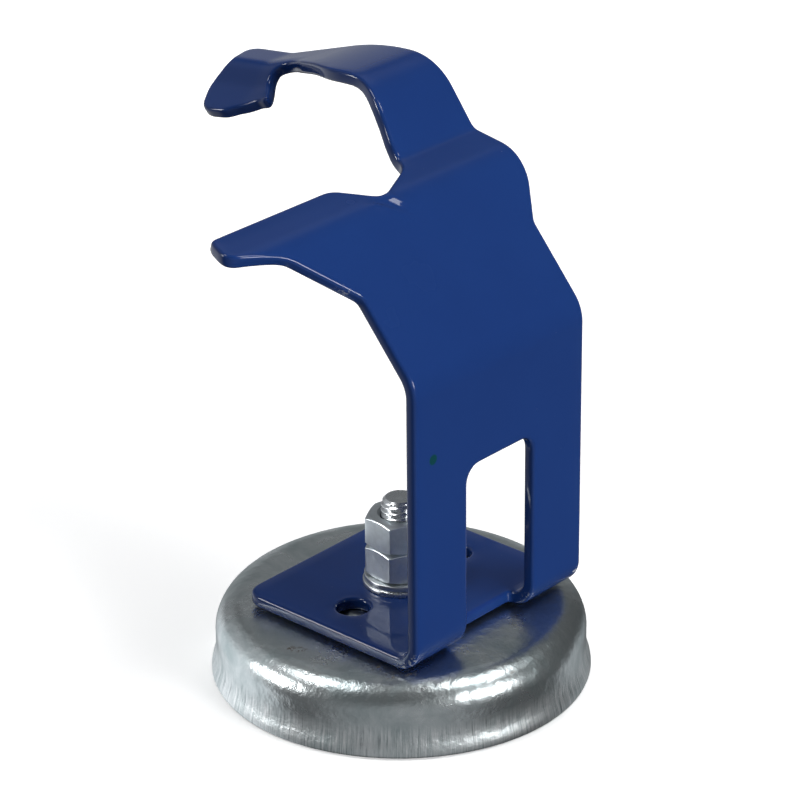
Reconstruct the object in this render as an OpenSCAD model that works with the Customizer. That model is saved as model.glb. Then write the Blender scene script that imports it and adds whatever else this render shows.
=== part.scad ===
// Magnetic welding-gun rest: a one-piece bent steel bracket on a shallow cup magnet.
// Millimetres, +Z up. The origin is the centre of the magnet's face, on the stud's axis.
// The upright stands on the +X side. The foot, the lower jaw and the upper arm reach
// toward -X. Every bend of the sheet runs along Y.

/* [Cup magnet] */
// Diameter of the rim at the magnet's face
cup_d = 79.8; // [50:0.2:100]
// Height of the cup's flat top above the face
cup_h = 15.6; // [10:0.1:24]
// Thickness of the pressed cup wall
cup_wall = 2.4; // [1.5:0.1:4]
// Diameter of the wall above the flared rim
cup_body_d = 77.8; // [48:0.2:98]
// Radius of the rounded shoulder
shoulder_r = 6.2; // [3:0.1:9]
// Height of the flare at the rim
flare_h = 4.6; // [1:0.1:8]
// Diameter of the raised seat under the foot
seat_d = 26; // [18:1:40]
// Height of the raised seat
seat_h = 0.9; // [0.3:0.1:2]
// Outer diameter of the ferrite ring
ring_od = 64.8; // [40:0.1:90]
// Inner diameter of the ferrite ring
ring_id = 26; // [18:1:40]
// Depth of the ferrite ring inside the rim
ring_recess = 0.5; // [0.2:0.1:2]

/* [Stud, nuts and washers] */
// Thread diameter of the stud
stud_d = 8; // [5:1:12]
// Height of the stud's tip above the face
stud_top = 39.0; // [30:0.5:50]
// Thread pitch
pitch = 1.25; // [0.8:0.05:2]
// Width across the flats of the nuts and of the stud's head
nut_af = 13; // [8:0.5:19]
// Height of one nut
nut_h = 6.8; // [4:0.1:10]
// Height of the stud's head inside the magnet
head_h = 5.3; // [3:0.1:8]
// Turn of the lower nut about the stud, in degrees
lower_nut_turn = -6.5; // [-30:0.5:30]
// Turn of the upper nut about the stud, in degrees
upper_nut_turn = -5; // [-30:0.5:30]
// Outer diameter of the flat washer
washer_od = 15.8; // [14:0.1:20]
// Thickness of the flat washer
washer_t = 1.2; // [0.8:0.1:2]
// Outer diameter of the split lock washer
lock_od = 15.2; // [12:0.1:17]
// Thickness of the split lock washer
lock_t = 1.3; // [1:0.1:2.5]

/* [Bracket sheet] */
// Thickness of the painted sheet
sheet_t = 2.8; // [2:0.1:4]
// Width of the foot and of the upright
bracket_w = 51.5; // [36:0.5:70]
// Sideways play at which the foot is clamped
side_shift = 1.3; // [-1.5:0.1:1.5]
// Distance from the stud to the free end of the foot
foot_reach = 21.9; // [18:0.1:40]
// Distance from the stud to the outer face of the upright
upright_x = 26.2; // [22:0.1:45]
// Outer bend radius between foot and upright
heel_r = 6; // [4:0.1:10]
// Length of the flat stretch of the upright
upright_run = 54.3; // [35:0.1:90]
// Outer bend radius of the two knees
knee_r = 9; // [5:0.5:15]
// Lean of the panel above the upright, in degrees
lean = 40.5; // [20:0.5:60]
// Length of the flat leaning panel
panel_run = 28.9; // [18:0.1:45]
// Bend from the panel to the ledge, in degrees
ledge_bend = 40.5; // [25:0.5:60]
// Length of the flat ledge behind the crease
ledge_run = 6.3; // [3:0.1:12]
// Bend back up at the crease, in degrees
crease_bend = 44; // [20:0.5:60]
// Radius of the crease on the upper face
crease_r = 3; // [1:0.1:8]
// Length of the straight rise of the arm
rise_run = 8.3; // [4:0.1:20]
// Length of the straight fall of the arm
fall_run = 17.3; // [8:0.1:30]

/* [Cut outline] */
// Width of the window in the upright
window_w = 20.5; // [12:0.5:34]
// Height of the window's top edge above the magnet's face
window_top = 57.2; // [40:0.5:70]
// Radius of the window's upper corners
window_r = 3.6; // [1:0.1:8]
// Diameter of the two accessory holes in the foot
side_hole_d = 6.9; // [4:0.1:9]
// Spacing of the two accessory holes
side_hole_gap = 32; // [28:0.5:36]
// Diameter of the stud's clearance hole in the foot
stud_hole_d = 11; // [8.5:0.1:13]
// Radius of the foot's two free corners
foot_corner_r = 4; // [1:0.5:8]
// Distance from the stud to the window's lower end in the foot
window_foot = 19.9; // [12:0.1:24]
// Reach of the lower jaw to the near side of the centre line
jaw_reach = 48.6; // [40:0.1:60]
// Reach of the arm to the far side of the centre line
arm_reach = 31.3; // [26:0.1:40]

/* [Arm tip] */
// Turn-down angle of the tip, in degrees
tip_turn = 45; // [20:1:70]
// Distance of the tip's bend line from the centre line
tip_line = 22.2; // [15:0.1:28]

/* [View] */
// Which sub-part to draw

/* [Hidden] */
$fn = 96;
eps = 0.01;
zinc = [0.66, 0.68, 0.68];
paint = [0.13, 0.23, 0.49];

foot_z = cup_h + seat_h;
plate_z = foot_z + sheet_t;
lock_z = plate_z + washer_t;
nut_z = lock_z + lock_t;
inner_top = cup_h - cup_wall;
head_top = foot_z - cup_wall;
head_z = head_top - head_h;
body_r = cup_body_d / 2;
inner_r = body_r - cup_wall;
nut_corner_r = nut_af / 2 / cos(30);

// The bends, in order from the foot's free end: straight length, radius of the
// outer face, turn in degrees. A positive turn keeps the outer face outside.
SHEET = [
    [foot_reach + upright_x - heel_r, heel_r, 90],
    [upright_run, knee_r, lean],
    [panel_run, knee_r, ledge_bend],
    [ledge_run, crease_r, -crease_bend],
    [rise_run, 13.7, 55],
    [0, 59, 16],
    [fall_run, 12, -11],
    [16, 1, 0]
];
last = len(SHEET) - 1;
facets = 12;
side = function (i) SHEET[i][2] < 0 ? -1 : 1;
heading = function (i) i == 0 ? 0 : heading(i - 1) + SHEET[i - 1][2];
across = function (angle) [-sin(angle), cos(angle)];
run_end = function (i) run_start(i) + SHEET[i][0] * [cos(heading(i)), sin(heading(i))];
bend_centre = function (i) run_end(i) + side(i) * SHEET[i][1] * across(heading(i));
run_start = function (i) i == 0 ? [-foot_reach, foot_z]
    : bend_point(i - 1, 1, 0);
bend_point = function (i, f, depth) bend_centre(i)
    - side(i) * (SHEET[i][1] - side(i) * depth) * across(heading(i) + f * SHEET[i][2]);
face_line = function (depth) concat(
    [run_start(0) + depth * across(0)],
    [for (i = [0 : last - 1])
        each [for (k = [0 : facets]) bend_point(i, k / facets, depth)]],
    [run_end(last) + depth * across(heading(last))]);
backwards = function (v) [for (i = [len(v) - 1 : -1 : 0]) v[i]];

arc_len = function (i) SHEET[i][1] * abs(SHEET[i][2]) * PI / 180;
half_w = bracket_w / 2;
// Developed length from the start of the panel to the point where it widens.
widen_run = 16.7;
// The arm's far edge, just past the strip's own edge so that no sliver is left.
far_y = arm_reach + 0.02;
// Y well outside the sheet, to which the waste beside it reaches.
clear_y = 70;
// First and last length past the widening of the three stretches cut one by one.
panel_part = [-14, 12.4];
knee_part = [12.4, 17.7];
ledge_part = [16.6, 36];
// Rise of the flap's bend line over the arm's last run, in degrees.
flap_rise = 2.8;
panel_start = run_start(2);
panel_angle = heading(2);
knee_mid = panel_run - widen_run + arc_len(2) / 2;
ledge_from = panel_run - widen_run + arc_len(2);

// Points of an open line from its corners [x, y, radius].
unit = function (v) v / norm(v);
rounded = function (corners) [for (i = [0 : len(corners) - 1]) each corner_arc(corners, i)];
corner_arc = function (c, i)
    let (p = [c[i][0], c[i][1]], r = c[i][2])
    r == 0 ? [p]
    : let (u = unit([c[i - 1][0], c[i - 1][1]] - p),
           v = unit([c[i + 1][0], c[i + 1][1]] - p),
           half = acos(u * v) / 2,
           centre = p + unit(u + v) * r / sin(half),
           from = p + u * r / tan(half) - centre,
           to = p + v * r / tan(half) - centre,
           start = atan2(from[1], from[0]),
           turn = atan2(cross(from, to), from * to))
      [for (k = [0 : arc_steps])
          centre + r * [cos(start + turn * k / arc_steps), sin(start + turn * k / arc_steps)]];
arc_steps = 6;

// Corners of the sheet's near side, as developed length past the widening, Y and
// radius: the widening, the jaw's end, the throat, and the root of the arm.
NEAR = [[0, -half_w, 0], [13, -38, 12], [18.6, -jaw_reach - 0.8, 3],
        [25.4, 1.7 - jaw_reach, 1.5], [25.4, -13.2, 4], [17.3, -6.3, 3.2], [24, 8, 7],
        [ledge_part[1], 8, 0]];
// Corners of its far side.
FAR = [[0, half_w, 0], [9.5, far_y, 10], [panel_part[1], far_y, 0]];
// Corners of the arm's near edge in plan: X, Y and radius.
ARM_EDGE = [[-6.9, 7.4, 0], [-8.5, 8.5, 3], [-15, 9.7, 20], [-21, 11.9, 15],
            [-31.5, 12.3, 15], [-51, tip_line, 0]];
// Corners of the arm's outer end in plan.
ARM_END = [[-64, far_y, 0], [-71, far_y, 3], [-70.5, 26.5, 8],
           [-68.6, 21, 0]];
// Corners of the flap: distance out from the arm's last bend, distance down, radius.
FLAP = [[-7, -0.9, 0], [-4.1, 1.8, 3], [-4.1, 4.2, 3], [-5.7, 7.9, 0.8], [5, 12, 6],
        [13, 12, 3.5], [12.9, 4.9, 5], [9.4, -0.9, 0]];

// ---------- shared shapes ----------

module disc(d, h, z = 0) {
    translate([0, 0, z])
        cylinder(d = d, h = h);
}

module tube(od, id, h, z = 0) {
    difference() {
        disc(od, h, z);
        disc(id, h + 2, z - 1);
    }
}

module hex_block(h) {
    intersection() {
        cylinder(r = nut_corner_r, h = h, $fn = 6);
        rotate_extrude()
            polygon([[0, 0], [nut_af / 2 - 0.3, 0], [nut_corner_r + 0.2, 0.75],
                     [nut_corner_r + 0.2, h - 0.75], [nut_af / 2 - 0.3, h], [0, h]]);
    }
}

module hex_nut() {
    difference() {
        hex_block(nut_h);
        translate([0, 0, -1])
            cylinder(d = stud_d + 0.15, h = nut_h + 2);
        rotate_extrude()
            polygon([[0, -0.5], [stud_d / 2 + 0.9, -0.5], [stud_d / 2, 0.45],
                     [0, 0.45]]);
        rotate_extrude()
            polygon([[0, nut_h + 0.5], [stud_d / 2 + 0.9, nut_h + 0.5],
                     [stud_d / 2, nut_h - 0.45], [0, nut_h - 0.45]]);
    }
}

// ---------- cup magnet ----------

// Half section of a cup with a rounded shoulder and a flared rim.
module cup_section(top, radius, round_r, rim) {
    square([radius - round_r, top]);
    square([radius, top - round_r]);
    translate([radius - round_r, top - round_r])
        circle(r = round_r);
    polygon([[0, 0], [rim - 0.3, 0], [rim, 0.3], [rim, 0.9], [radius, flare_h],
             [0, flare_h]]);
}

module magnet_cup() {
    color(zinc)
    difference() {
        union() {
            rotate_extrude() intersection() {
                cup_section(cup_h, body_r, shoulder_r, cup_d / 2);
                square([cup_d, cup_h]);
            }
            rotate_extrude()
                polygon([[0, cup_h - 1], [seat_d / 2 + 1.4, cup_h - 1],
                         [seat_d / 2 + 1.4, cup_h], [seat_d / 2, foot_z],
                         [0, foot_z]]);
        }
        translate([0, 0, -eps])
            rotate_extrude() intersection() {
                cup_section(inner_top, inner_r, shoulder_r - cup_wall, cup_d / 2 - cup_wall);
                square([cup_d, cup_h]);
            }
        disc(seat_d - 4, head_top - inner_top + eps, inner_top - eps);
        disc(stud_d + 0.2, 30, -1);
    }
}

module ferrite_ring() {
    color([0.16, 0.16, 0.17])
        tube(ring_od, ring_id, inner_top - ring_recess - 0.05, ring_recess);
}

module potting_ring() {
    color([0.08, 0.08, 0.09])
        tube(2 * inner_r - 0.1, ring_od + 0.05, 7, ring_recess + 0.3);
}

module head_collar() {
    color([0.78, 0.76, 0.68])
        tube(ring_id - 0.1, 2 * nut_corner_r + 0.6, inner_top - ring_recess - 1.2,
             ring_recess + 1);
}

// ---------- stud, nuts and washers ----------

module stud() {
    crest = stud_d / 2 - 0.05;
    root = crest - 0.55;
    first = nut_z;
    turns = floor((stud_top - 1.3 - first) / pitch);
    thread_end = first + turns * pitch;
    color(zinc) {
        translate([0, 0, head_z])
            hex_block(head_h);
        rotate_extrude()
            polygon(concat(
                [[0, head_z + 1], [crest, head_z + 1], [crest, first]],
                [for (i = [0 : turns - 1])
                    each [[root, first + (i + 0.5) * pitch],
                          [crest, first + (i + 0.88) * pitch],
                          [crest, first + (i + 1) * pitch]]],
                [[crest - 0.1, thread_end + 0.2], [crest - 1, stud_top - 0.15],
                 [crest - 1.15, stud_top], [0, stud_top]]));
    }
}

module flat_washer() {
    color(zinc)
        tube(washer_od, stud_d + 0.5, washer_t, plate_z);
}

module lock_washer() {
    color(zinc)
        difference() {
            tube(lock_od, stud_d + 0.3, lock_t, lock_z);
            rotate([0, 0, 150])
                translate([0, -0.4, lock_z - 1])
                rotate([20, 0, 0])
                cube([20, 0.9, lock_t + 3]);
        }
}

module lower_nut() {
    color(zinc)
        translate([0, 0, nut_z])
        rotate([0, 0, lower_nut_turn])
        hex_nut();
}

module upper_nut() {
    color(zinc)
        translate([0, 0, nut_z + nut_h])
        rotate([0, 0, upper_nut_turn])
        hex_nut();
}

// ---------- bracket ----------

// Places its children on the sheet's outer face: X along the sheet, Z into it.
module on_sheet(point, angle) {
    translate([point[0], 0, point[1]])
        rotate([0, -angle, 0])
        children();
}

// The bent strip at its full width, before its outline is cut.
module full_strip() {
    translate([0, arm_reach, 0])
        rotate([90, 0, 0])
        linear_extrude(arm_reach + jaw_reach)
        polygon(concat(face_line(0), backwards(face_line(sheet_t))));
}

// What is cut away beside the sheet's near edge, in one stretch of its length.
module near_waste(part) {
    intersection() {
        polygon(concat(rounded(NEAR), [[ledge_part[1], -clear_y],
                                       [panel_part[0], -clear_y],
                                       [panel_part[0], -half_w]]));
        translate([part[0], -clear_y])
            square([part[1] - part[0], 2 * clear_y]);
    }
}

module lower_sides() {
    for (s = [-1, 1])
        translate([-60, s > 0 ? half_w : -half_w - 60, 0])
            cube([120, 60, 88]);
}

module panel_sides() {
    on_sheet(panel_start, panel_angle)
        translate([widen_run, 0, -5])
        linear_extrude(sheet_t + 10) {
            near_waste(panel_part);
            polygon(concat(rounded(FAR), [[panel_part[1], clear_y],
                                          [panel_part[0], clear_y],
                                          [panel_part[0], half_w]]));
        }
}

module knee_sides() {
    on_sheet(bend_point(2, 0.5, 0), panel_angle + ledge_bend / 2)
        translate([-knee_mid, 0, -5])
        linear_extrude(sheet_t + 10)
        near_waste(knee_part);
}

// The jaw's rounded corner, its end edge and the throat, square to the ledge.
module ledge_sides() {
    on_sheet(run_start(3), heading(3))
        translate([-ledge_from, 0, -5])
        linear_extrude(sheet_t + 8)
        near_waste(ledge_part);
}

module arm_sides() {
    translate([0, 0, 90])
        linear_extrude(60) {
            polygon(concat(rounded(ARM_EDGE),
                           [[-100, tip_line], [-100, -clear_y], [-6.9, -clear_y]]));
            polygon(concat(rounded(ARM_END), [[-120, 21], [-120, clear_y], [-64, clear_y]]));
        }
}

module foot_corners() {
    for (s = [-1, 1])
        translate([-foot_reach, s * half_w, foot_z - 1])
            mirror([0, s > 0 ? 1 : 0, 0])
            difference() {
                translate([-1, -1, 0])
                    cube([foot_corner_r + 1, foot_corner_r + 1, sheet_t + 2]);
                translate([foot_corner_r, foot_corner_r, -1])
                    cylinder(r = foot_corner_r, h = sheet_t + 4);
            }
}

module window_cut() {
    y = window_w / 2 - window_r;
    translate([window_foot, -window_w / 2, foot_z - 1])
        cube([60, window_w, window_top - window_r - foot_z + 1]);
    translate([window_foot, -y, foot_z])
        cube([60, 2 * y, window_top - foot_z]);
    for (s = [-1, 1])
        translate([window_foot, s * y, window_top - window_r])
            rotate([0, 90, 0])
            cylinder(r = window_r, h = 60);
}

module foot_holes() {
    translate([0, -side_shift, foot_z - 1])
        cylinder(d = stud_hole_d, h = sheet_t + 2);
    for (s = [-1, 1])
        translate([0, s * side_hole_gap / 2, foot_z - 1])
            cylinder(d = side_hole_d, h = sheet_t + 2);
}

// Flap turned down from the arm's end along its near edge.
module tip_flap() {
    on_sheet(run_start(last), heading(last) + flap_rise)
        translate([0, tip_line, 0])
        rotate([-tip_turn, 0, 0])
        mirror([0, 1, 0])
        linear_extrude(sheet_t)
        polygon(rounded(FLAP));
}

module bracket() {
    color(paint)
        translate([0, side_shift, 0])
        union() {
            difference() {
                full_strip();
                lower_sides();
                panel_sides();
                knee_sides();
                ledge_sides();
                arm_sides();
                foot_corners();
                window_cut();
                foot_holes();
            }
            tip_flap();
        }
}

magnet_cup();
ferrite_ring();
potting_ring();
head_collar();
stud();
flat_washer();
lock_washer();
lower_nut();
upper_nut();
bracket();
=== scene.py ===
"""Looks of a magnetic welding-gun rest: a bent blue sheet bracket on a zinc cup magnet.

Metres, +Z up, in the CAD part's frame. The origin is the centre of the magnet's face.
Lengths written as numbers are in millimetres and go through MM.
"""

import math

import bpy
import bmesh
import numpy as np
from mathutils import Matrix, Vector
from mathutils.geometry import delaunay_2d_cdt


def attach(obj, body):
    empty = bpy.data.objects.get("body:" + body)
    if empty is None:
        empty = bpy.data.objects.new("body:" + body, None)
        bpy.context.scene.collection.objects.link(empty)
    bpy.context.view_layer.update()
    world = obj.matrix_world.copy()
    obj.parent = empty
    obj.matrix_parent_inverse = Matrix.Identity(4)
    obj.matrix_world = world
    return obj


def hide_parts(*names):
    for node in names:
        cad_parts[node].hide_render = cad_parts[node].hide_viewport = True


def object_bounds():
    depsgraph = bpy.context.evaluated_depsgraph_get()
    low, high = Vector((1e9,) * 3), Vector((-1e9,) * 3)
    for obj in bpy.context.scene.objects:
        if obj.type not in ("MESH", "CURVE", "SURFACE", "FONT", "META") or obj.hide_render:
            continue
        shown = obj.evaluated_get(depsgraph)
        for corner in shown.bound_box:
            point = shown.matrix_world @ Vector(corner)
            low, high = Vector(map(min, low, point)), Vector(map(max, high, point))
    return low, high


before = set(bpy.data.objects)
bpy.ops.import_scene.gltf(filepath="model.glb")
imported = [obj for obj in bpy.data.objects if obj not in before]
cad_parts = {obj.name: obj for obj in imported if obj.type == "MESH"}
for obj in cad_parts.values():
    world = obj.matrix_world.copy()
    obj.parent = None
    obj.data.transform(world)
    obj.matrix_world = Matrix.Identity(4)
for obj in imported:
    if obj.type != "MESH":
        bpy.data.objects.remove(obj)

CAD_BOX = [list(v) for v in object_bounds()]
MM = 0.001

# Sheet of the bracket
SHEET_T = 2.8
FOOT_Z = 16.5
FOOT_REACH = 21.9
SIDE_SHIFT = 1.3
HALF_W = 25.75
# Straight length, radius of the outer face and turn in degrees of each stretch
BENDS = [
    (42.1, 6.0, 90.0),
    (54.3, 9.0, 40.5),
    (28.9, 9.0, 40.5),
    (6.3, 3.0, -44.0),
    (8.3, 13.7, 55.0),
    (0.0, 59.0, 16.0),
    (17.3, 12.0, -11.0),
    (30.0, 1.0, 0.0),
]
EDGE_R = 0.75
EDGE_STEPS = 5
WIDEN_S = 128.95
# The flap: its bend line's distance from the centre line, the bend's radius and turn, how
# much the flap curls back past it, and where and over what length that starts
TIP_LINE = 22.2
TIP_R = 5.0
TIP_TURN = math.radians(48)
FLAP_EASE = math.radians(18)
EASE_AFTER, EASE_OVER = 4.2, 3.0
# How far before the arm's last bend the flap's turn begins, and over what length it grows
FADE_BEFORE, FADE_OVER = 15.0, 10.0
FLAP_MOST, FLAP_STEP = 24, 0.05
# Holes: the foot's corner radius, the stud's hole and the two small holes, and the window
FOOT_R = 4.0
STUD_HOLE_R = 5.5
SIDE_HOLE_R, SIDE_HOLE_Y = 3.45, 16
WINDOW_S, WINDOW_TOP, WINDOW_HALF, WINDOW_R = 41.8, 57.2, 10.25, 3.6
WINDOW_CHAMFER = 0.3
# Pinch marks: from s, y to s, y, half width and height. A hollow's height is negative.
PINCHES = (
    (146, -5, 139, -1.5, 0.8, 0.3),
    (145, -10.5, 138.5, -2, 0.8, 0.3),
    (145.5, -8, 139.5, -2, 1.2, -0.4),
)
PINCH_FADE = 0.6

# Spacing of the sheet's mesh: along its rims, and inside, where it is fine along the bends,
# round the pinch marks and towards the tip
RIM_STEP, SMALL_RIM_STEP = 0.6, 0.45
FINE_S, FINE_Y, COARSE = 0.7, 0.8, 2.5
PINCHED = (134, 150)
FINE_TIP, SHEET_END = 17, 14
SHEET_Y = (-48, 32)
RIM_GAP = 0.55

# Fasteners
STUD_R = 3.95
THREAD_DEPTH = 0.62
PITCH = 1.25
STUD_START, STUD_TOP = 14.1, 39.0
NUT_AF = 13.0
NUT_H = 6.8
NUT_Z = 21.8
HEAD_H, HEAD_Z = 5.3, 8.8
WASHER_Z = 19.3
LOCK_Z = 20.5
# Nuts: the share of the corner's radius left by wear, how far the end faces stop short of
# the flats, the chamfer's angle, the roundings of its edges, the countersink's width at its
# edge and just inside, and the depth of the bore's thread
CORNER_WORN = 0.993
FACE_IN = 0.25
CHAMFER = math.radians(28)
ROUND_IN, ROUND_UP, LIP = 0.06, 0.12, 0.05
SINK, SINK_IN = 0.75, 0.62
BORE_DEPTH = 0.3
# Air between two washers, and the radius at which a turned piece is closed
LOOSE = 0.02
CENTRE_R = 0.01


# ---------- mesh helpers ----------


def linked(name, data, material=None):
    """A new object in the scene."""
    obj = bpy.data.objects.new(name, data)
    bpy.context.scene.collection.objects.link(obj)
    if material:
        data.materials.append(material)
    return obj


def new_object(name, verts, faces, body, material, node, sharp=None):
    """A mesh piece from points in millimetres. It rides on a body and replaces a node."""
    mesh = bpy.data.meshes.new(name)
    mesh.from_pydata([tuple(c * MM for c in v) for v in verts], [], faces)
    mesh.validate()
    bm = bmesh.new()
    bm.from_mesh(mesh)
    bmesh.ops.remove_doubles(bm, verts=bm.verts, dist=2e-6)
    bmesh.ops.recalc_face_normals(bm, faces=bm.faces)
    for face in bm.faces:
        face.smooth = True
    bm.to_mesh(mesh)
    bm.free()
    if sharp is not None:
        mesh.set_sharp_from_angle(angle=math.radians(sharp))
    obj = linked(name, mesh, material)
    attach(obj, body)
    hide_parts(node)


def revolve(rows, steps, closed=True):
    """Points and faces of rows of (radius, z), each a number or one number per step."""
    verts = []
    for k in range(steps):
        a = 2 * math.pi * k / steps
        for radius, z in rows:
            r = radius[k] if isinstance(radius, (list, np.ndarray)) else radius
            h = z[k] if isinstance(z, (list, np.ndarray)) else z
            verts.append((r * math.cos(a), r * math.sin(a), h))
    n = len(rows)
    faces = []
    for k in range(steps):
        m = (k + 1) % steps
        for i in range(n if closed else n - 1):
            j = (i + 1) % n
            faces.append((k * n + i, m * n + i, m * n + j, k * n + j))
    return verts, faces


def fillet(corners, steps=6):
    """Points of a line whose corners (x, y, radius) are rounded. Its ends have radius 0,
    unless it is closed."""
    out = []
    for i, (x, y, radius) in enumerate(corners):
        p = np.array((x, y), float)
        if not radius:
            out.append((x, y))
            continue
        u, v = (np.array(corners[j % len(corners)][:2], float) - p for j in (i - 1, i + 1))
        u, v = u / np.hypot(*u), v / np.hypot(*v)
        half = math.acos(float(u @ v)) / 2
        centre = p + (u + v) / np.hypot(*(u + v)) * radius / math.sin(half)
        start, end = (p + w * radius / math.tan(half) - centre for w in (u, v))
        a0 = math.atan2(start[1], start[0])
        turn = (math.atan2(end[1], end[0]) - a0 + math.pi) % (2 * math.pi) - math.pi
        for k in range(steps + 1):
            a = a0 + turn * k / steps
            out.append((centre[0] + radius * math.cos(a),
                        centre[1] + radius * math.sin(a)))
    return out


# ---------- the bent sheet ----------


def sheet_table(step=0.25):
    """Developed length, X, Z and heading along the sheet's outer face."""
    rows = []
    x, z, h, s = -FOOT_REACH, FOOT_Z, 0.0, 0.0
    for run, radius, turn in BENDS:
        n = max(1, int(run / step))
        for i in range(n):
            d = run * i / n
            rows.append((s + d, x + d * math.cos(h), z + d * math.sin(h), h))
        x += run * math.cos(h)
        z += run * math.sin(h)
        s += run
        t = math.radians(turn)
        side = 1 if t >= 0 else -1
        cx, cz = x - side * radius * math.sin(h), z + side * radius * math.cos(h)
        n = max(1, int(radius * abs(t) / step))
        for i in range(n if t else 0):
            k = h + t * i / n
            rows.append((s + radius * abs(t) * i / n, cx + side * radius * math.sin(k),
                         cz - side * radius * math.cos(k), k))
        h += t
        x, z = cx + side * radius * math.sin(h), cz - side * radius * math.cos(h)
        s += radius * abs(t)
    rows.append((s, x, z, h))
    return np.array(rows)


TABLE = sheet_table()
# The arm's crown stays just under the top of the CAD model
CROWN_Z = CAD_BOX[1][2] / MM - 0.01
STARTS = [0.0]
for _run, _radius, _turn in BENDS:
    STARTS.append(STARTS[-1] + _run + _radius * abs(math.radians(_turn)))
LAST_S = STARTS[-2]


def arm_s(x):
    """Developed length at which the arm's outer face reaches x."""
    arm = TABLE[TABLE[:, 0] > STARTS[3]]
    return float(np.interp(-x, -arm[:, 1], arm[:, 0]))


def smooth(t):
    t = np.clip(t, 0, 1)
    return t * t * (3 - 2 * t)


def flap_table():
    """Distance past the start of the flap's bend, and there its across, down and turn."""
    length = TIP_R * TIP_TURN
    e = np.arange(0, FLAP_MOST, FLAP_STEP)
    turn = TIP_TURN * np.clip(e / length, 0, 1)
    turn = turn - FLAP_EASE * smooth((e - length / 2 - EASE_AFTER) / EASE_OVER)
    step = np.diff(e, prepend=0)
    return e, np.cumsum(np.cos(turn) * step), np.cumsum(np.sin(turn) * step), turn


FLAP = flap_table()


def form_marks(s, y):
    """Depth of the pinch marks beside the throat, which fade along their length."""
    depth = np.zeros_like(s)
    for s0, y0, s1, y1, wide, high in PINCHES:
        ds, dy = s1 - s0, y1 - y0
        t = np.clip(((s - s0) * ds + (y - y0) * dy) / (ds * ds + dy * dy), 0, 1)
        gap = np.hypot(s - s0 - t * ds, y - y0 - t * dy)
        depth -= high * np.exp(-((gap / wide) ** 2)) * (1 - PINCH_FADE * t)
    return depth


def bend_points(s, y, depth):
    """Flat-pattern points in space: s along, y across, depth below the outer face."""
    s, y, depth = (np.asarray(v, float) for v in (s, y, depth))
    depth = depth + form_marks(s, y) * (1 - smooth(depth / SHEET_T))
    x = np.interp(s, TABLE[:, 0], TABLE[:, 1])
    z = np.interp(s, TABLE[:, 0], TABLE[:, 2])
    h = np.interp(s, TABLE[:, 0], TABLE[:, 3])
    length = TIP_R * TIP_TURN
    past = TIP_LINE - y + length / 2
    share = smooth((s - (LAST_S - FADE_BEFORE)) / FADE_OVER) * (past > 0)
    e, across, down, turn = FLAP
    past_in = np.clip(past, 0, e[-1])
    a = np.interp(past_in, e, across)
    b = np.interp(past_in, e, down)
    t = np.interp(past_in, e, turn) * share
    a = np.where(share > 0, past + (a - past) * share, past)
    b = b * share
    out_y = TIP_LINE + length / 2 - a + depth * np.sin(t)
    deep = b + depth * np.cos(t)
    high = np.minimum(z + np.cos(h) * deep, CROWN_Z)
    return np.stack([x - np.sin(h) * deep, out_y + SIDE_SHIFT, high], 1)


# Corners of the flat pattern, each with its radius. The first two are measured past the
# line where the sheet widens: its near side, from the widening round the jaw and the throat
# to the arm, and its far side.
NEAR = [(0, -HALF_W, 0), (13, -38, 12), (18.6, -49.4, 3), (25.4, -46.9, 1.5),
        (25.4, -13.2, 4), (17.3, -6.3, 3.2), (24, 8, 7), (29, 8, 0)]
FAR = [(12.4, 31.3, 0), (9.5, 31.3, 10), (0, HALF_W, 0)]
# The arm's near edge and its outer far corner, by X and Y in plan
ARM_NEAR = [(-11.5, 8.8, 0), (-15, 9.7, 15), (-21, 11.9, 15), (-31.5, 12.3, 15),
            (-49.5, 21.5, 0)]
ARM_FAR = [(-69.3, 24.5, 0), (-70.4, 28, 4), (-70.4, 31.3, 2.6), (-66.5, 31.3, 0)]
# The flap, by distance out from the arm's last bend and distance past the flap's bend
FLAP_RIM = [(-8.6, 0.1, 0), (-4.3, 0.6, 3.6), (-4.3, 4.7, 2.8), (-6.8, 8.6, 2),
            (-6.8, 9.9, 0.3), (-3.2, 9.6, 3), (2.6, 12.9, 5), (9.2, 13.3, 3.5),
            (11.7, 6.2, 5), (9.6, 0.9, 4), (9.4, -0.5, 0)]


def corner(cs, cy, radius, start, end, steps=10):
    """An arc about a centre, between two angles in degrees."""
    return [(cs + radius * math.cos(math.radians(start + (end - start) * k / steps)),
             cy + radius * math.sin(math.radians(start + (end - start) * k / steps)))
            for k in range(steps + 1)]


def outline():
    """The flat pattern's outer edge, anticlockwise, as (s, y)."""
    r = FOOT_R
    pts = corner(r, -HALF_W + r, r, 180, 270)
    pts += [(WIDEN_S + w, y) for w, y in fillet(NEAR)]
    pts += [(arm_s(x), y) for x, y in fillet(ARM_NEAR)]
    pts += [(LAST_S + u, TIP_LINE - e) for u, e in fillet(FLAP_RIM)]
    pts += [(arm_s(x), y) for x, y in fillet(ARM_FAR)]
    pts += [(WIDEN_S + w, y) for w, y in fillet(FAR)]
    pts += corner(r, HALF_W - r, r, 90, 180)
    return pts


def window():
    """The window's edge. It starts in the foot and runs up to a height above the magnet."""
    heel_r = BENDS[0][1]
    top = STARTS[1] + WINDOW_TOP - FOOT_Z - heel_r
    pts = [(WINDOW_S + WINDOW_CHAMFER, -WINDOW_HALF),
           (WINDOW_S, WINDOW_CHAMFER - WINDOW_HALF),
           (WINDOW_S, WINDOW_HALF - WINDOW_CHAMFER),
           (WINDOW_S + WINDOW_CHAMFER, WINDOW_HALF)]
    pts += corner(top - WINDOW_R, WINDOW_HALF - WINDOW_R, WINDOW_R, 90, 0)
    pts += corner(top - WINDOW_R, WINDOW_R - WINDOW_HALF, WINDOW_R, 0, -90)
    return pts


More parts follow.
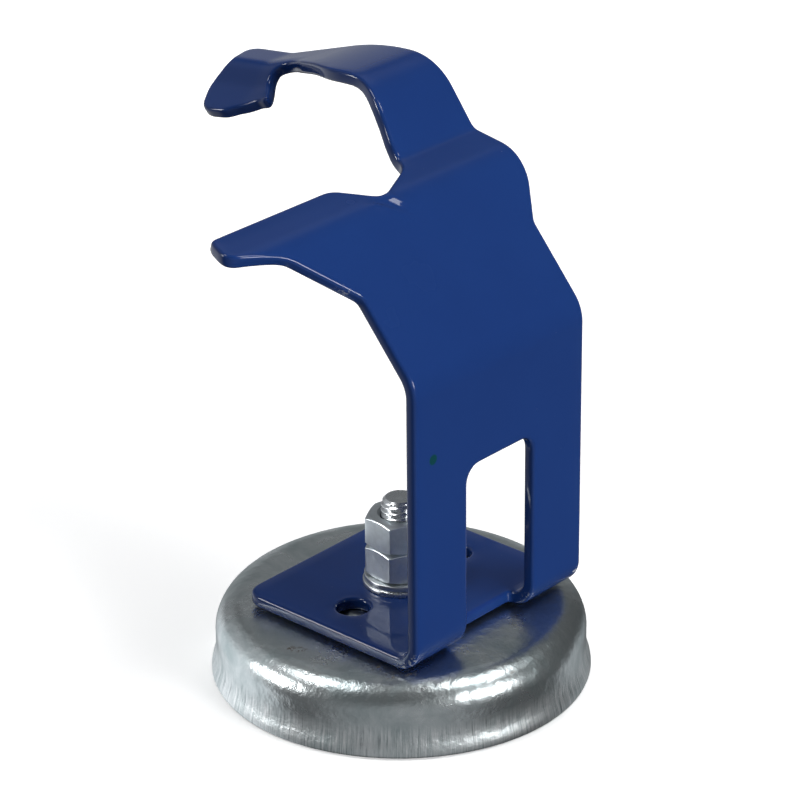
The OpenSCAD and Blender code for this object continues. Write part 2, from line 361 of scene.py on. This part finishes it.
def hole(s, y, radius, steps=40):
    """A round hole's edge, clockwise."""
    return [(s + radius * math.cos(-2 * math.pi * k / steps),
             y + radius * math.sin(-2 * math.pi * k / steps)) for k in range(steps)]


def even(points, step, soften=0):
    """The closed line at an even spacing, its corners softened by averaging."""
    p = np.array(points + points[:1], float)
    length = np.r_[0, np.cumsum(np.hypot(*np.diff(p, axis=0).T))]
    n = int(length[-1] / step)
    t = np.arange(n) * length[-1] / n
    q = np.stack([np.interp(t, length, p[:, 0]), np.interp(t, length, p[:, 1])], 1)
    for _ in range(soften):
        q = 0.5 * q + 0.25 * (np.roll(q, 1, 0) + np.roll(q, -1, 0))
    return q


def inward(q):
    """Directions at a closed line's points into the metal, smoothed a little."""
    d = np.roll(q, -1, 0) - np.roll(q, 1, 0)
    n = np.stack([-d[:, 1], d[:, 0]], 1)
    for _ in range(2):
        n = 0.5 * n + 0.25 * (np.roll(n, 1, 0) + np.roll(n, -1, 0))
    return n / np.hypot(n[:, 0], n[:, 1])[:, None]


def inside(points, loops):
    """Even-odd test of points against all loops together."""
    hit = np.zeros(len(points), bool)
    for q in loops:
        r = np.roll(q, -1, 0)
        for a, b in zip(q, r):
            if a[1] == b[1]:
                continue
            crosses = (a[1] > points[:, 1]) != (b[1] > points[:, 1])
            at = a[0] + (points[:, 1] - a[1]) * (b[0] - a[0]) / (b[1] - a[1])
            hit ^= crosses & (points[:, 0] < at)
    return hit


def clear_of(points, loops, gap):
    """Which points lie further than gap from all the lines' points."""
    every = np.concatenate(loops)
    keep = np.ones(len(points), bool)
    for k in range(0, len(points), 2000):
        d = points[k:k + 2000, None, :] - every[None]
        keep[k:k + 2000] = (d ** 2).sum(2).min(1) > gap * gap
    return keep


def fill(loops):
    """Triangles over the sheet: fine along the bends and on the flap."""
    grid = []
    bends = len(BENDS) - 1
    s = 1.0
    while s < LAST_S + SHEET_END:
        bent = any(STARTS[i] + BENDS[i][0] - 1 < s < STARTS[i + 1] + 1
                   for i in range(bends))
        marked = PINCHED[0] < s < PINCHED[1]
        fine_tip = s > LAST_S - FINE_TIP
        for y in np.arange(*SHEET_Y, FINE_Y if marked or fine_tip else COARSE):
            grid.append((s, y))
        s += FINE_S if bent or marked or fine_tip else COARSE
    grid = np.array(grid)
    grid = grid[inside(grid, loops)]
    grid = grid[clear_of(grid, loops, RIM_GAP)]
    verts = [Vector(p) for q in loops for p in q]
    edges = []
    base = 0
    for q in loops:
        edges += [(base + i, base + (i + 1) % len(q)) for i in range(len(q))]
        base += len(q)
    verts += [Vector(p) for p in grid]
    out, _, faces, _, _, _ = delaunay_2d_cdt(verts, edges, [], 0, 1e-5, True)
    out = np.array([tuple(v) for v in out])
    faces = np.array([f for f in faces if len(f) == 3])
    mid = out[faces].mean(1)
    return out, faces[inside(mid, loops)]


def bracket_mesh():
    """Points and faces of the bent sheet with rounded painted edges."""
    loops = [even(outline(), RIM_STEP, 2), even(window(), RIM_STEP, 1),
             even(hole(FOOT_REACH, -SIDE_SHIFT, STUD_HOLE_R), RIM_STEP)]
    loops += [even(hole(FOOT_REACH, y, SIDE_HOLE_R), SMALL_RIM_STEP)
              for y in (-SIDE_HOLE_Y, SIDE_HOLE_Y)]
    # Each band of the rounded edge: distance in from the outline and depth
    bands = []
    for k in range(EDGE_STEPS + 1):
        a = math.pi / 2 * k / EDGE_STEPS
        bands.append((EDGE_R * (1 - math.sin(a)), EDGE_R * (1 - math.cos(a))))
    bands += [(i, SHEET_T - d) for i, d in reversed(bands)]
    flat, depth, faces = [], [], []
    base = 0
    for q in loops:
        n = inward(q)
        for i, d in bands:
            flat.append(q + n * i)
            depth += [d] * len(q)
        m = len(q)
        for b in range(len(bands) - 1):
            for i in range(m):
                j = (i + 1) % m
                lo, hi = base + b * m, base + (b + 1) * m
                faces.append((lo + i, lo + j, hi + j, hi + i))
        base += m * len(bands)
    inner = [q + inward(q) * EDGE_R for q in loops]
    top, tris = fill(inner)
    for d, flip in ((0.0, False), (SHEET_T, True)):
        flat.append(top)
        depth += [d] * len(top)
        for t in tris:
            faces.append(tuple(int(base + v) for v in (t[::-1] if flip else t)))
        base += len(top)
    flat = np.concatenate(flat)
    return bend_points(flat[:, 0], flat[:, 1], depth), faces


# ---------- materials ----------


class Nodes:
    """Short forms for building one material's node tree."""

    def __init__(self, name):
        self.mat = bpy.data.materials.new(name)
        self.mat.use_nodes = True
        self.tree = self.mat.node_tree
        self.bsdf = self.tree.nodes["Principled BSDF"]
        self.coords = self.tree.nodes.new("ShaderNodeTexCoord").outputs["Object"]

    def add(self, kind, **values):
        node = self.tree.nodes.new("ShaderNode" + kind)
        for key, value in values.items():
            setattr(node, key, value)
        return node

    def put(self, socket, value):
        if isinstance(value, bpy.types.NodeSocket):
            self.tree.links.new(value, socket)
        else:
            socket.default_value = value

    def set(self, **values):
        for key, value in values.items():
            self.put(self.bsdf.inputs[key.replace("_", " ")], value)

    def scaled(self, x, y, z):
        """The object coordinates, stretched along each axis."""
        node = self.add("Mapping")
        self.put(node.inputs["Vector"], self.coords)
        node.inputs["Scale"].default_value = (x, y, z)
        return node.outputs["Vector"]

    def noise(self, scale, detail=3.0, rough=0.55, vector=None, distortion=0.0):
        """Noise whose features are about 1/scale metres across."""
        node = self.add("TexNoise")
        self.put(node.inputs["Vector"], vector or self.coords)
        node.inputs["Scale"].default_value = scale
        node.inputs["Detail"].default_value = detail
        node.inputs["Roughness"].default_value = rough
        node.inputs["Distortion"].default_value = distortion
        return node.outputs["Fac"]

    def cells(self, scale):
        """Distance from the nearest of many scattered points."""
        node = self.add("TexVoronoi")
        self.put(node.inputs["Vector"], self.coords)
        node.inputs["Scale"].default_value = scale
        return node.outputs["Distance"]

    def ramp(self, fac, low, high, out_low=0.0, out_high=1.0):
        """fac from low to high, mapped to out_low to out_high and held there."""
        node = self.add("MapRange")
        self.put(node.inputs["Value"], fac)
        node.inputs["From Min"].default_value = low
        node.inputs["From Max"].default_value = high
        node.inputs["To Min"].default_value = out_low
        node.inputs["To Max"].default_value = out_high
        return node.outputs["Result"]

    def math(self, operation, a, b=0.0):
        node = self.add("Math", operation=operation)
        self.put(node.inputs[0], a)
        self.put(node.inputs[1], b)
        return node.outputs[0]

    def mix(self, fac, a, b):
        node = self.add("Mix", data_type="RGBA")
        self.put(node.inputs["Factor"], fac)
        self.put(node.inputs[6], a if isinstance(a, bpy.types.NodeSocket) else (*a, 1))
        self.put(node.inputs[7], b if isinstance(b, bpy.types.NodeSocket) else (*b, 1))
        return node.outputs[2]

    def near(self, point, radius, soft=0.3):
        """1 within radius of a point, both in millimetres, fading over its outer part."""
        node = self.add("VectorMath", operation="DISTANCE")
        self.put(node.inputs[0], self.coords)
        node.inputs[1].default_value = tuple(c * MM for c in point)
        return self.ramp(node.outputs["Value"], radius * MM, radius * MM * (1 - soft))

    def spots(self, places, soft):
        """The strongest of several spots, each a point and its radius."""
        total = None
        for point, radius in places:
            spot = self.near(point, radius, soft)
            total = spot if total is None else self.math("MAXIMUM", total, spot)
        return total

    def bump(self, *layers):
        """Stacks (height, strength, distance in millimetres) layers into the normal."""
        normal = None
        for height, strength, distance in layers:
            node = self.add("Bump")
            node.inputs["Strength"].default_value = strength
            node.inputs["Distance"].default_value = distance * MM
            self.put(node.inputs["Height"], height)
            if normal is not None:
                self.put(node.inputs["Normal"], normal)
            normal = node.outputs["Normal"]
        self.put(self.bsdf.inputs["Normal"], normal)


# Pale bare-steel spots on the paint, and how far round each, in millimetres: worn paint at
# the knee, and painted highlights round the heel, where its edges mirror white
WEAR_AND_GLINT_SPOTS = (
    ((11.6, -28.6, 96.6), 2.8), ((26.0, -24.4, 18.6), 3.0), ((23.0, -19.5, 20.6), 2.4),
    ((22.0, -23.6, 17.4), 2.4), ((25.4, 11.0, 18.2), 2.8), ((25.8, 25.6, 19.5), 2.0),
)
GREEN_DOT = ((26.2, -19.3, 63.1), 1.25)
# Small rust spots on the cup, in millimetres
RUST_SPOTS = [(point, 1.7) for point in (
    (-2.2, -31.2, 15.6), (-0.4, -30.2, 15.6), (16.6, -25.6, 15.6), (23.0, -23.0, 15.6),
    (36.0, -7.0, 13.0), (20.5, -26.2, 15.4))]
# Heights at which the cup's draw lines begin and are full, in millimetres
DRAW_LINES = (7.5, 5.0)

# Colours
BLUE, BLUE_SHADE = (0.0095, 0.036, 0.16), (0.0085, 0.032, 0.146)
BLUE_RIM = (0.012, 0.03, 0.15)
# The pale bare steel is worn paint at the knee and a painted highlight at the heel
DUST, DOT, BARE_STEEL_AND_GLINT = (0.16, 0.19, 0.28), (0.002, 0.045, 0.04), (0.5, 0.52, 0.56)
CUP_DULL, CUP_BRIGHT = (0.42, 0.49, 0.5), (0.74, 0.78, 0.79)
LINE_BRIGHT, LINE_DARK = (0.9, 0.92, 0.93), (0.2, 0.22, 0.24)
RUST, GRIME = (0.1, 0.055, 0.03), (0.34, 0.35, 0.36)
FERRITE = ((0.035, 0.036, 0.04), (0.075, 0.075, 0.08))
RESIN = ((0.012, 0.012, 0.014), (0.03, 0.03, 0.034))
COLLAR = ((0.55, 0.53, 0.46), (0.66, 0.64, 0.56))


def blue_paint():
    """Glossy deep-blue powder coat with orange peel, dust, thin paint on its edges, and
    pale spots: worn paint at the knee, painted highlights at the heel.
    """
    n = Nodes("blue_powder_coat")
    cloud = n.ramp(n.noise(28, 4), 0.3, 0.7)
    colour = n.mix(cloud, BLUE, BLUE_SHADE)
    edge = n.add("NewGeometry").outputs["Pointiness"]
    rim = n.ramp(edge, 0.53, 0.60)
    colour = n.mix(n.math("MULTIPLY", rim, 0.45), colour, BLUE_RIM)
    dust = n.ramp(n.cells(420), 0.055, 0.03)
    few = n.ramp(n.noise(170, 1), 0.62, 0.66)
    specks = n.math("MULTIPLY", dust, few)
    colour = n.mix(n.math("MULTIPLY", specks, 0.35), colour, DUST)
    dot = n.math("MULTIPLY", n.near(*GREEN_DOT, 0.25), n.ramp(n.noise(900, 2), 0.12, 0.25))
    colour = n.mix(n.math("MULTIPLY", dot, 0.9), colour, DOT)
    # Pale bare-steel spots: worn paint at the knee, and painted highlights standing for the
    # white reflections along the heel's edges
    chip_and_glint = n.math("MULTIPLY", n.spots(WEAR_AND_GLINT_SPOTS, 0.7),
                  n.ramp(n.noise(1300, 3), 0.57, 0.61))
    colour = n.mix(chip_and_glint, colour, BARE_STEEL_AND_GLINT)
    n.set(Base_Color=colour, Roughness=n.ramp(n.noise(60, 3), 0.3, 0.7, 0.20, 0.28),
          Metallic=0.0)
    n.set(IOR=1.4, Specular_IOR_Level=0.08, Coat_Weight=0.55, Coat_Roughness=0.03,
          Coat_IOR=1.45)
    n.bump((n.noise(300, 1), 0.05, 0.12), (n.noise(1400, 2), 0.04, 0.03),
           (specks, 0.3, 0.06))
    return n.mat


def zinc_cup():
    """Satin zinc on the pressed cup: mottled, with draw lines round its lower band."""
    n = Nodes("zinc_pressed_cup")
    split = n.add("SeparateXYZ")
    n.put(split.inputs[0], n.coords)
    angle = n.math("ARCTAN2", split.outputs["Y"], split.outputs["X"])
    join = n.add("CombineXYZ")
    n.put(join.inputs["X"], angle)
    n.put(join.inputs["Z"], n.math("MULTIPLY", split.outputs["Z"], 1.2))
    lines = n.noise(85, 5, 0.75, join.outputs["Vector"])
    band = n.ramp(split.outputs["Z"], *(z * MM for z in DRAW_LINES))
    cloud = n.noise(75, 5, 0.62, distortion=0.6)
    grain = n.noise(900, 3, 0.6)
    colour = n.mix(n.ramp(cloud, 0.35, 0.68), CUP_DULL, CUP_BRIGHT)
    streak = n.math("MULTIPLY", n.ramp(lines, 0.46, 0.62), band)
    colour = n.mix(n.math("MULTIPLY", streak, 0.85), colour, LINE_BRIGHT)
    dark = n.math("MULTIPLY", n.ramp(lines, 0.44, 0.34), band)
    colour = n.mix(n.math("MULTIPLY", dark, 0.85), colour, LINE_DARK)
    rust = n.math("MULTIPLY", n.spots(RUST_SPOTS, 0.8),
                  n.ramp(n.noise(1100, 3), 0.50, 0.56))
    colour = n.mix(n.math("MULTIPLY", rust, 0.8), colour, RUST)
    rough = n.ramp(cloud, 0.3, 0.7, 0.36, 0.24)
    rough = n.math("ADD", rough, n.math("MULTIPLY", band, 0.10))
    rough = n.math("ADD", rough, n.math("MULTIPLY", rust, 0.4))
    n.set(Base_Color=colour, Metallic=1.0, Roughness=rough)
    n.bump((cloud, 0.30, 0.25), (n.noise(420, 3, 0.6), 0.85, 0.20), (grain, 0.35, 0.07),
           (n.math("MULTIPLY", lines, band), 0.55, 0.10))
    return n.mat


def bright_zinc(name, base, low, high, scratch=0.10):
    """Bright zinc of the small hardware, with handling marks."""
    n = Nodes(name)
    cloud = n.noise(320, 4, 0.6)
    colour = n.mix(n.ramp(cloud, 0.35, 0.7), tuple(c * 0.80 for c in base), base)
    grime = n.ramp(n.noise(700, 3), 0.66, 0.74)
    colour = n.mix(n.math("MULTIPLY", grime, 0.25), colour, GRIME)
    n.set(Base_Color=colour, Metallic=1.0, Roughness=n.ramp(cloud, 0.3, 0.7, high, low))
    fine = n.noise(900, 3, 0.6, n.scaled(1, 1, 6))
    n.bump((cloud, 0.35, 0.10), (fine, scratch * 2, 0.06))
    return n.mat


def ferrite():
    """Dark sintered ferrite with grinding marks round its wall."""
    n = Nodes("sintered_ferrite")
    grain = n.noise(1500, 4, 0.7)
    ground = n.noise(240, 4, 0.6, n.scaled(1, 14, 1))
    colour = n.mix(n.ramp(grain, 0.35, 0.7), *FERRITE)
    n.set(Base_Color=colour, Metallic=0.35, Roughness=n.ramp(ground, 0.3, 0.7, 0.42, 0.62))
    n.bump((grain, 0.25, 0.05), (ground, 0.3, 0.04))
    return n.mat


def resin():
    """Black potting resin with small pits."""
    n = Nodes("potting_resin")
    cloud = n.noise(180, 4)
    pits = n.ramp(n.cells(520), 0.10, 0.04)
    colour = n.mix(n.ramp(cloud, 0.35, 0.65), *RESIN)
    n.set(Base_Color=colour, Roughness=n.ramp(cloud, 0.3, 0.7, 0.30, 0.5))
    n.bump((cloud, 0.3, 0.3), (pits, 0.4, 0.1))
    return n.mat


def collar_plastic():
    """Cream moulded plastic."""
    n = Nodes("moulded_collar")
    cloud = n.noise(260, 4)
    colour = n.mix(n.ramp(cloud, 0.35, 0.65), *COLLAR)
    n.set(Base_Color=colour, Roughness=n.ramp(cloud, 0.3, 0.7, 0.38, 0.52))
    n.bump((n.noise(1600, 2), 0.15, 0.05), (cloud, 0.1, 0.1))
    return n.mat


# ---------- pieces ----------


def build_bracket():
    points, faces = bracket_mesh()
    new_object("bent_bracket", points, faces, "holder",
               blue_paint(), "bracket")


def build_cup():
    """The pressed cup: rounded shoulder, flared rim, raised seat and open underside."""
    outer = [(39.4, 0.05), (39.75, 0.25), (39.88, 0.6), (39.88, 1.0), (39.75, 1.9),
             (39.4, 2.9), (39.08, 3.9), (38.92, 5.2), (38.88, 6.6), (38.88, 9.4)]
    x, z, outer_r, inner_r = 32.7, 9.4, 6.2, 3.8
    outer += [(x + outer_r * math.cos(a), z + outer_r * math.sin(a))
              for a in np.linspace(0.06, math.pi / 2, 16)]
    outer += [(30.0, 15.6), (26.0, 15.6), (20.0, 15.6), (15.3, 15.6), (14.4, 15.63),
              (13.9, 15.85), (13.3, 16.3), (12.8, 16.47), (12.0, 16.5), (8.0, 16.5),
              (4.2, 16.5), (4.1, 16.4)]
    inner = [(4.1, 14.15), (11.0, 14.1), (11.0, 13.2), (30.0, 13.2)]
    inner += [(x + inner_r * math.cos(a), z + inner_r * math.sin(a))
              for a in np.linspace(math.pi / 2, 0, 8)]
    inner += [(36.5, 4.6), (37.45, 0.9), (37.5, 0.0), (38.0, 0.0), (39.1, 0.0)]
    steps, uneven = 288, 0.03
    turns = 2 * math.pi * np.arange(steps) / steps
    rows = []
    for r, z in outer + inner:
        on_wall = 33 < r < 39.8 and z > 1
        wobble = uneven * (1 + np.sin(3 * turns + 0.7 * z)) if on_wall else 0 * turns
        rows.append((r - wobble, z))
    verts, faces = revolve(rows, steps)
    new_object("pressed_cup", verts, faces, "base", zinc_cup(),
               "magnet_cup", sharp=50)


def build_stud():
    """Hexagon-headed stud with a helical thread and a chamfered tip."""
    per_turn, steps = 12, 72
    start, crest, root = STUD_START, STUD_R, STUD_R - THREAD_DEPTH
    steepness, root_width = 1.28, 0.10
    chamfer_in, chamfer_slope, tip_r = 0.95, 0.95, 1.2
    heights = list(np.arange(start, STUD_TOP - 0.001, PITCH / per_turn)) + [STUD_TOP - 0.01]
    rows = [([CENTRE_R] * steps, start)]
    angles = [2 * math.pi * k / steps for k in range(steps)]
    for z in heights:
        ring = []
        for a in angles:
            t = ((z - start) / PITCH - a / (2 * math.pi)) % 1.0
            wave = min(1.0, max(0.0, abs(2 * t - 1) * steepness - root_width))
            r = root + (crest - root) * wave
            chamfer = crest - chamfer_in + (STUD_TOP - z) * chamfer_slope
            ring.append(min(r, chamfer))
        rows.append((ring, z))
    rows.append(([tip_r] * steps, STUD_TOP))
    rows.append(([CENTRE_R] * steps, STUD_TOP - 0.04))
    verts, faces = revolve(rows, steps, closed=False)
    base = len(verts)
    head_v, head_f = hex_body(HEAD_H, HEAD_Z, 0.0, bore=None)
    verts += head_v
    faces += [tuple(v + base for v in f) for f in head_f]
    mat = bright_zinc("zinc_stud", (0.74, 0.77, 0.79), 0.20, 0.32)
    new_object("threaded_stud", verts, faces, "base", mat, "stud",
               sharp=55)


def hex_radius(a):
    """Radius of a hexagon with slightly rounded corners at the angle a from a corner."""
    t = (a + math.pi / 6) % (math.pi / 3) - math.pi / 6
    flat = NUT_AF / 2 / math.cos(math.pi / 6 - abs(t))
    limit = NUT_AF / 2 / math.cos(math.pi / 6) * CORNER_WORN
    return min(flat, limit)


def hex_body(height, z0, turn, bore):
    """Chamfered hexagon at z0. With a bore it has a threaded hole with countersinks."""
    steps = 144
    angles = [2 * math.pi * k / steps for k in range(steps)]
    hexr = [hex_radius(a) for a in angles]
    face_r = NUT_AF / 2 - FACE_IN
    dip = [(r - face_r) * math.tan(CHAMFER) for r in hexr]
    top = z0 + height
    rows = []
    if bore is None:
        rows.append(([CENTRE_R] * steps, [z0] * steps))
    else:
        rows += [([bore + SINK] * steps, [z0] * steps)]
    rows += [([face_r - ROUND_UP] * steps, [z0] * steps),
             ([face_r + LIP] * steps, [z0 + LIP] * steps),
             ([r - ROUND_IN for r in hexr], [z0 + d for d in dip]),
             (hexr, [z0 + d + ROUND_UP for d in dip]),
             (hexr, [z0 + height / 2] * steps),
             (hexr, [top - d - ROUND_UP for d in dip]),
             ([r - ROUND_IN for r in hexr], [top - d for d in dip]),
             ([face_r + LIP] * steps, [top - LIP] * steps),
             ([face_r - ROUND_UP] * steps, [top] * steps)]
    if bore is None:
        rows.append(([CENTRE_R] * steps, [top] * steps))
        verts, faces = revolve(rows, steps, closed=False)
    else:
        rows += [([bore + SINK] * steps, [top] * steps),
                 ([bore + SINK_IN] * steps, [top - ROUND_IN] * steps)]
        for z in np.arange(top - 0.6, z0 + 0.5, -PITCH / 6):
            ring = [bore + BORE_DEPTH
                    * abs(2 * (((z - z0) / PITCH - a / 2 / math.pi) % 1) - 1)
                    for a in angles]
            rows.append((ring, [z] * steps))
        rows.append(([bore + SINK_IN] * steps, [z0 + ROUND_IN] * steps))
        verts, faces = revolve(rows, steps)
    c, s = math.cos(math.radians(turn)), math.sin(math.radians(turn))
    return [(x * c - y * s, x * s + y * c, z) for x, y, z in verts], faces


def build_nut(name, node, level, turn):
    """A nut, the level-th one up, turned about the stud by an angle in degrees."""
    verts, faces = hex_body(NUT_H, NUT_Z + level * NUT_H, turn, STUD_R + 0.05)
    mat = bright_zinc("zinc_" + name, (0.66, 0.71, 0.74), 0.28, 0.44, 0.16)
    new_object(name, verts, faces, "base", mat, node, sharp=24)


def ring_rows(inner, outer, z0, z1, edge):
    """Section of a ring with rounded edges."""
    return fillet([(outer, z0, edge), (outer, z1, edge), (inner, z1, edge),
                   (inner, z0, edge)], 4)


def build_flat_washer():
    verts, faces = revolve(ring_rows(4.3, 7.9, WASHER_Z, LOCK_Z - LOOSE, 0.28), 128)
    mat = bright_zinc("zinc_flat_washer", (0.70, 0.73, 0.74), 0.22, 0.36)
    new_object("flat_washer_ring", verts, faces, "base", mat,
               "flat_washer")


def build_lock_washer():
    """Clamped spring washer: an almost flat open ring with a slanted gap at the back."""
    section = ring_rows(4.25, 7.6, LOCK_Z, NUT_Z - LOOSE, 0.2)
    middle = (LOCK_Z + NUT_Z) / 2
    steps, gap, gap_at, lean = 120, 0.075, math.radians(150), 0.05
    verts, faces = [], []
    for k in range(steps + 1):
        for r, z in section:
            slant = (z - middle) * lean
            a = gap_at + gap + slant + (2 * math.pi - 2 * gap) * k / steps
            verts.append((r * math.cos(a), r * math.sin(a), z))
    n = len(section)
    for k in range(steps):
        for i in range(n):
            j = (i + 1) % n
            faces.append((k * n + i, (k + 1) * n + i, (k + 1) * n + j, k * n + j))
    faces.append(tuple(range(n)))
    faces.append(tuple(steps * n + i for i in reversed(range(n))))
    mat = bright_zinc("zinc_lock_washer", (0.66, 0.69, 0.70), 0.24, 0.38)
    new_object("split_lock_washer", verts, faces, "base", mat,
               "lock_washer", sharp=50)


def build_inner_rings():
    """The ferrite ring, its resin ring and the collar round the stud's head."""
    for name, node, slot, make, inner, outer, z0, z1, edge in (
        ("ferrite_block", "ferrite_ring", "ferrite", ferrite, 13.0, 32.4, 0.5, 13.15, 0.5),
        ("resin_seal", "potting_ring", "potting", resin, 32.43, 36.45, 0.8, 7.8, 0.35),
        ("head_sleeve", "head_collar", "collar", collar_plastic, 7.81, 12.95, 1.5, 13.0,
         0.4),
    ):
        verts, faces = revolve(ring_rows(inner, outer, z0, z1, edge), 160)
        new_object(name, verts, faces, "base", make(), node)


# ---------- studio ----------


# Distances in metres over which the floor's own glow rises, and its strength by the part.
# The other lengths of the studio are in metres too.
FLOOR_GLOW = (0.15, 0.9, 0.35)
FLOOR_HALF = 4.0
FLOOR_DROP = 0.0002
BACKDROP_R = 3.9
LIGHT_AIM = (0, 0, 0.05)


def floor():
    """Pale seamless floor under and behind the part."""
    mesh = bpy.data.meshes.new("studio_floor")
    h = FLOOR_HALF
    mesh.from_pydata([(-h, -h, 0), (h, -h, 0), (h, h, 0), (-h, h, 0)], [],
                     [(0, 1, 2, 3)])
    n = Nodes("studio_white")
    n.set(Base_Color=(0.93, 0.93, 0.93, 1), Roughness=0.9, Specular_IOR_Level=0.1,
          Emission_Color=(1, 1, 1, 1))
    reach = n.add("VectorMath", operation="LENGTH")
    n.put(reach.inputs[0], n.coords)
    near, far, low = FLOOR_GLOW
    n.set(Emission_Strength=n.ramp(reach.outputs["Value"], near, far, low))
    obj = linked("studio_floor", mesh, n.mat)
    obj.location.z = -FLOOR_DROP
    obj.visible_glossy = False
    obj.visible_diffuse = False


def backdrop():
    """Pale seamless dome behind the floor. It lights nothing and casts no shadow."""
    mesh = bpy.data.meshes.new("studio_backdrop")
    bm = bmesh.new()
    bmesh.ops.create_uvsphere(bm, u_segments=64, v_segments=32, radius=BACKDROP_R)
    bm.to_mesh(mesh)
    bm.free()
    n = Nodes("studio_pale")
    n.set(Base_Color=(0, 0, 0, 1), Emission_Color=(1, 1, 1, 1), Emission_Strength=1.0)
    obj = linked("studio_backdrop", mesh, n.mat)
    for ray in ("diffuse", "glossy", "transmission", "volume_scatter", "shadow"):
        setattr(obj, "visible_" + ray, False)


def softbox(name, place, size, power, shown=True):
    """A square soft light aimed at the part. Unshown, it lights without being mirrored."""
    light = bpy.data.lights.new(name, "AREA")
    light.shape = "SQUARE"
    light.size = size
    light.energy = power
    obj = linked(name, light)
    obj.location = place
    aim = Vector(LIGHT_AIM) - Vector(place)
    obj.rotation_euler = aim.to_track_quat("-Z", "Y").to_euler()
    obj.visible_glossy = shown
    return obj


# Soft bright parts of the room: direction, cosine where it starts and is full, strength.
# The room's own strength, and its colour.
ROOM = 0.09
ROOM_COLOUR = (0.94, 0.97, 1, 1)
LOBES = (
    ((-0.72, 0.69, -0.02), 0.84, 0.98, 0.28),
    ((-0.40, 0.45, 0.80), 0.92, 0.99, 0.30),
    ((-0.88, -0.18, 0.45), 0.84, 0.98, 0.34),
    ((0.62, -0.69, -0.40), 0.55, 0.95, 0.24),
    ((-0.89, -0.19, -0.42), 0.75, 0.97, 1.00),
    ((0.10, 0.90, -0.42), 0.93, 0.99, 0.45),
)


def room():
    """The air around the set: dark, with a few soft bright patches."""
    world = bpy.data.worlds.new("studio_air")
    world.use_nodes = True
    tree = world.node_tree
    coords = tree.nodes.new("ShaderNodeTexCoord").outputs["Generated"]
    total = None
    for direction, start, full, strength in LOBES:
        dot = tree.nodes.new("ShaderNodeVectorMath")
        dot.operation = "DOT_PRODUCT"
        tree.links.new(coords, dot.inputs[0])
        dot.inputs[1].default_value = Vector(direction).normalized()
        part = tree.nodes.new("ShaderNodeMapRange")
        part.interpolation_type = "SMOOTHSTEP"
        tree.links.new(dot.outputs["Value"], part.inputs["Value"])
        part.inputs["From Min"].default_value = start
        part.inputs["From Max"].default_value = full
        part.inputs["To Max"].default_value = strength
        add = tree.nodes.new("ShaderNodeMath")
        add.operation = "ADD"
        tree.links.new(part.outputs["Result"], add.inputs[0])
        if total is None:
            add.inputs[1].default_value = ROOM
        else:
            tree.links.new(total, add.inputs[1])
        total = add.outputs[0]
    background = tree.nodes["Background"]
    background.inputs["Color"].default_value = ROOM_COLOUR
    tree.links.new(total, background.inputs["Strength"])
    bpy.context.scene.world = world


def studio():
    room()
    softbox("key_left", (-0.36, -0.50, 1.06), 0.32, 4.0)
    softbox("key_right", (0.50, 0.26, 1.06), 0.36, 4.5)
    softbox("fill_right", (1.8, -0.15, 0.32), 0.6, 29, shown=False)
    softbox("fill_back", (-0.9, 1.6, 1.5), 1.4, 16, shown=False)
    # These two are only mirrored, as bright lines along the painted edges
    for name, place, size, power in (("edge_strip", (-0.90, -1.12, 0.40), 0.42, 11),
                                     ("edge_right", (1.28, 0.08, 0.46), 0.34, 9)):
        softbox(name, place, size, power).visible_diffuse = False
    bpy.context.scene.view_settings.view_transform = "Standard"


def camera():
    """The photograph's view: from the front right, above, with a long lens."""
    azimuth, elevation = math.radians(41.941), math.radians(25.34)
    roll, distance, lens = math.radians(-0.554), 0.73244, 156.33
    target = Vector((-0.0156, 0.0177, 0.0498))
    back = Vector((math.sin(azimuth) * math.cos(elevation),
                   -math.cos(azimuth) * math.cos(elevation), math.sin(elevation)))
    level = Vector((math.cos(azimuth), math.sin(azimuth), 0))
    rise = back.cross(level)
    right = level * math.cos(roll) + rise * math.sin(roll)
    up = rise * math.cos(roll) - level * math.sin(roll)
    data = bpy.data.cameras.new("camera")
    data.lens = lens
    data.sensor_width = 36.0
    data.clip_start = 0.01
    data.dof.use_dof = False
    obj = linked("camera", data)
    place = target + back * distance
    turn = Matrix((right, up, back)).transposed().to_4x4()
    obj.matrix_world = Matrix.Translation(place) @ turn
    bpy.context.scene.camera = obj


build_bracket()
build_cup()
build_stud()
build_nut("lower_hex_nut", "lower_nut", 0, -6.5)
build_nut("upper_hex_nut", "upper_nut", 1, -5.0)
build_flat_washer()
build_lock_washer()
build_inner_rings()
floor()
backdrop()
studio()
camera()
